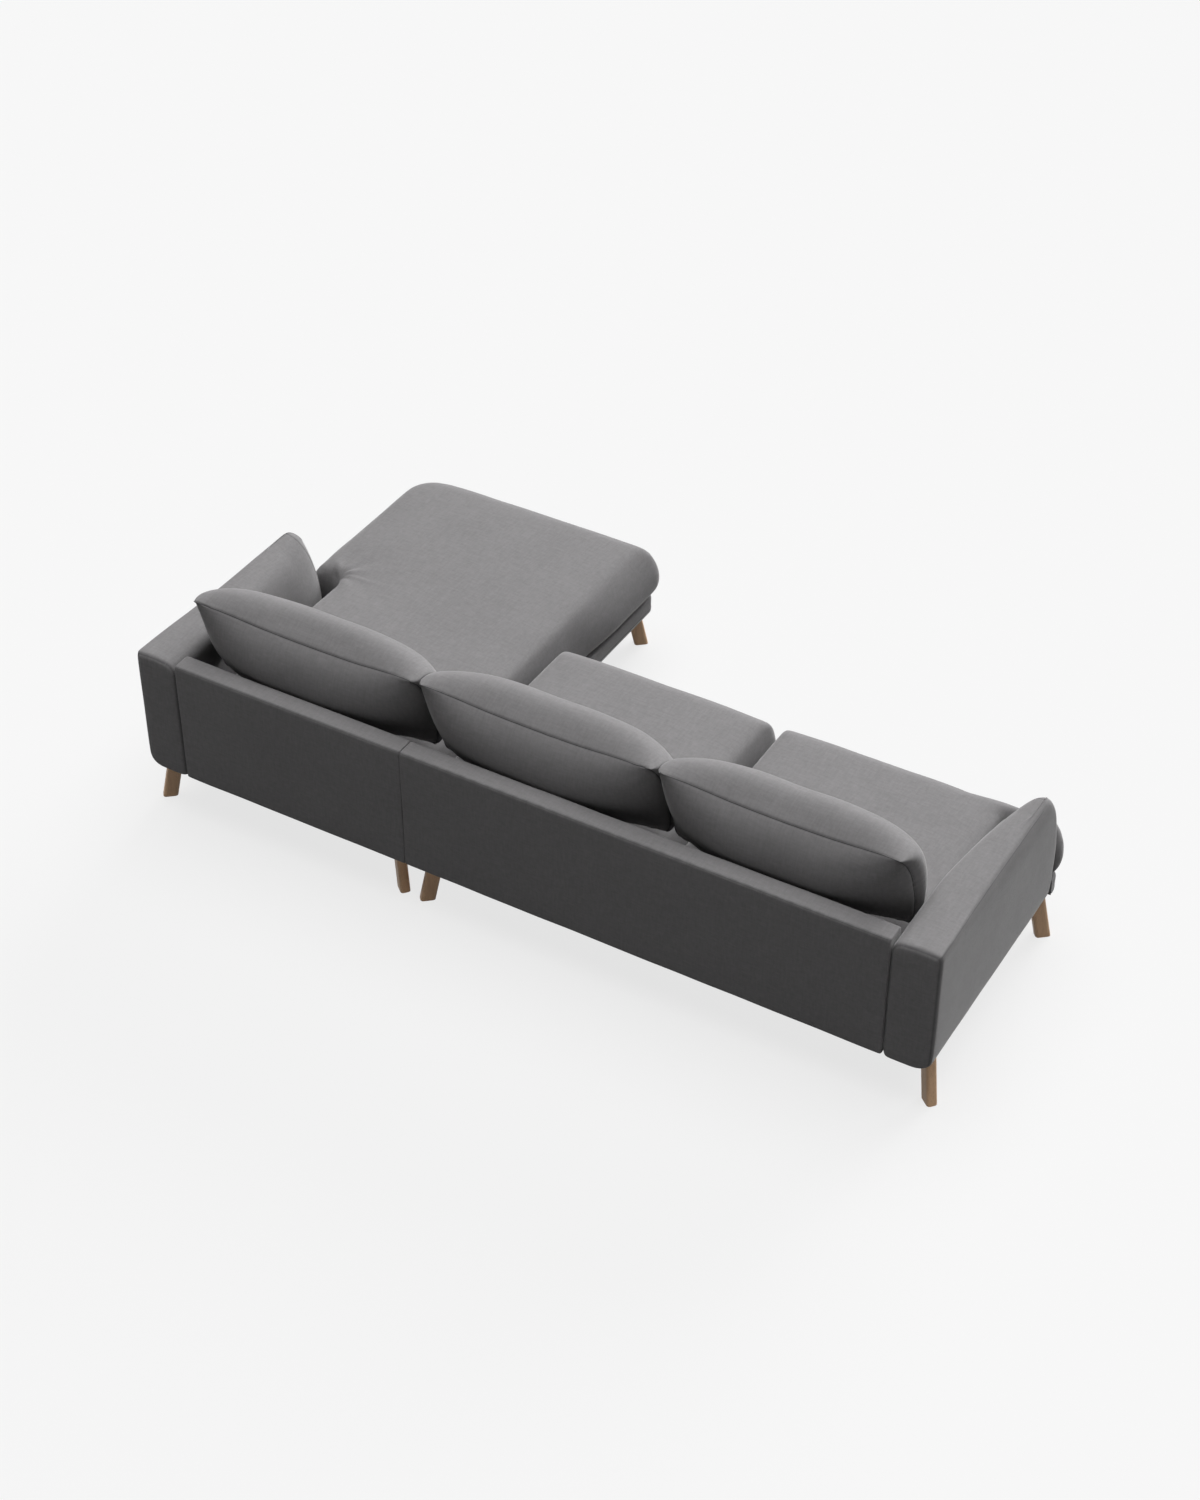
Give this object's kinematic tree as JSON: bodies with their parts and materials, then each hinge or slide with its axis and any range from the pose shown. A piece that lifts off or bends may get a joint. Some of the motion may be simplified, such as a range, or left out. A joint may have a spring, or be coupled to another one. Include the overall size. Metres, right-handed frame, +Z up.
{
  "type": "corner sofa",
  "caption": "L-shaped corner sofa: a chaise and a two-seater side by side, with box arms, loose seat and back cushions and splayed wooden legs.",
  "frame": {"origin": "on the floor, in the middle of the box round the sofa", "axes": "+X towards the chaise, -Y towards the front, +Z up"},
  "size_m": [2.6568, 1.524, 0.7904],
  "materials": {
    "base_fabric": "plain woven velour",
    "arm_fabric": "plain woven velour",
    "panel_fabric": "plain woven velour",
    "seat_fabric": "plain woven velour",
    "pillow_fabric": "plain woven velour",
    "foam": "open-cell foam",
    "fibre_filling": "loose fibre in an inner cover",
    "leg_wood": "satin lacquered beech",
    "frame_wood": "planed pine",
    "webbing": "woven elastic webbing",
    "dust_cloth": "non-woven dust cloth",
    "steel": "zinc plated"
  },
  "bodies": {
    "frame": {"chaise_base_cover": "base_fabric", "chaise_side_rails": "frame_wood", "chaise_cross_rails": "frame_wood", "chaise_long_webbing": "webbing", "chaise_cross_webbing": "webbing", "chaise_dust_cover": "dust_cloth", "chaise_arm_cover": "arm_fabric", "chaise_arm_rails": "frame_wood", "chaise_arm_posts": "frame_wood", "chaise_back_cover": "panel_fabric", "chaise_back_rails": "frame_wood", "chaise_back_posts": "frame_wood", "chaise_leg_back_outer": "leg_wood", "chaise_leg_back_inner": "leg_wood", "chaise_leg_front_outer": "leg_wood", "chaise_leg_front_inner": "leg_wood", "chaise_leg_bolts": "steel", "chaise_arm_bolts": "steel", "chaise_back_bolts": "steel", "settee_base_cover": "base_fabric", "settee_side_rails": "frame_wood", "settee_cross_rails": "frame_wood", "settee_leg_block": "frame_wood", "settee_long_webbing": "webbing", "settee_cross_webbing": "webbing", "settee_dust_cover": "dust_cloth", "settee_arm_cover": "arm_fabric", "settee_arm_rails": "frame_wood", "settee_arm_posts": "frame_wood", "settee_back_cover": "panel_fabric", "settee_back_rails": "frame_wood", "settee_back_posts": "frame_wood", "settee_leg_back_outer": "leg_wood", "settee_leg_back_inner": "leg_wood", "settee_leg_front_outer": "leg_wood", "settee_leg_front_inner": "leg_wood", "settee_leg_bolts": "steel", "settee_arm_bolts": "steel", "settee_back_bolts": "steel", "tie_plates": "steel", "tie_bolts": "steel"},
    "chaise_seat": {"chaise_seat_cushion": "seat_fabric", "chaise_seat_foam": "foam"},
    "chaise_back": {"chaise_back_cushion": "pillow_fabric", "chaise_back_filling": "fibre_filling"},
    "middle_seat": {"middle_seat_cushion": "seat_fabric", "middle_seat_foam": "foam"},
    "middle_back": {"middle_back_cushion": "pillow_fabric", "middle_back_filling": "fibre_filling"},
    "end_seat": {"end_seat_cushion": "seat_fabric", "end_seat_foam": "foam"},
    "end_back": {"end_back_cushion": "pillow_fabric", "end_back_filling": "fibre_filling"}
  },
  "joints": [
    {"name": "chaise_seat_lift", "type": "slide", "parent": "frame", "child": "chaise_seat", "axis": [0, 0, 1], "range_m": [0, 0.3]},
    {"name": "chaise_back_lift", "type": "slide", "parent": "chaise_seat", "child": "chaise_back", "axis": [0, 0, 1], "range_m": [0, 0.3]},
    {"name": "middle_seat_lift", "type": "slide", "parent": "frame", "child": "middle_seat", "axis": [0, 0, 1], "range_m": [0, 0.3]},
    {"name": "middle_back_lift", "type": "slide", "parent": "middle_seat", "child": "middle_back", "axis": [0, 0, 1], "range_m": [0, 0.3]},
    {"name": "end_seat_lift", "type": "slide", "parent": "frame", "child": "end_seat", "axis": [0, 0, 1], "range_m": [0, 0.3]},
    {"name": "end_back_lift", "type": "slide", "parent": "end_seat", "child": "end_back", "axis": [0, 0, 1], "range_m": [0, 0.3]}
  ]
}
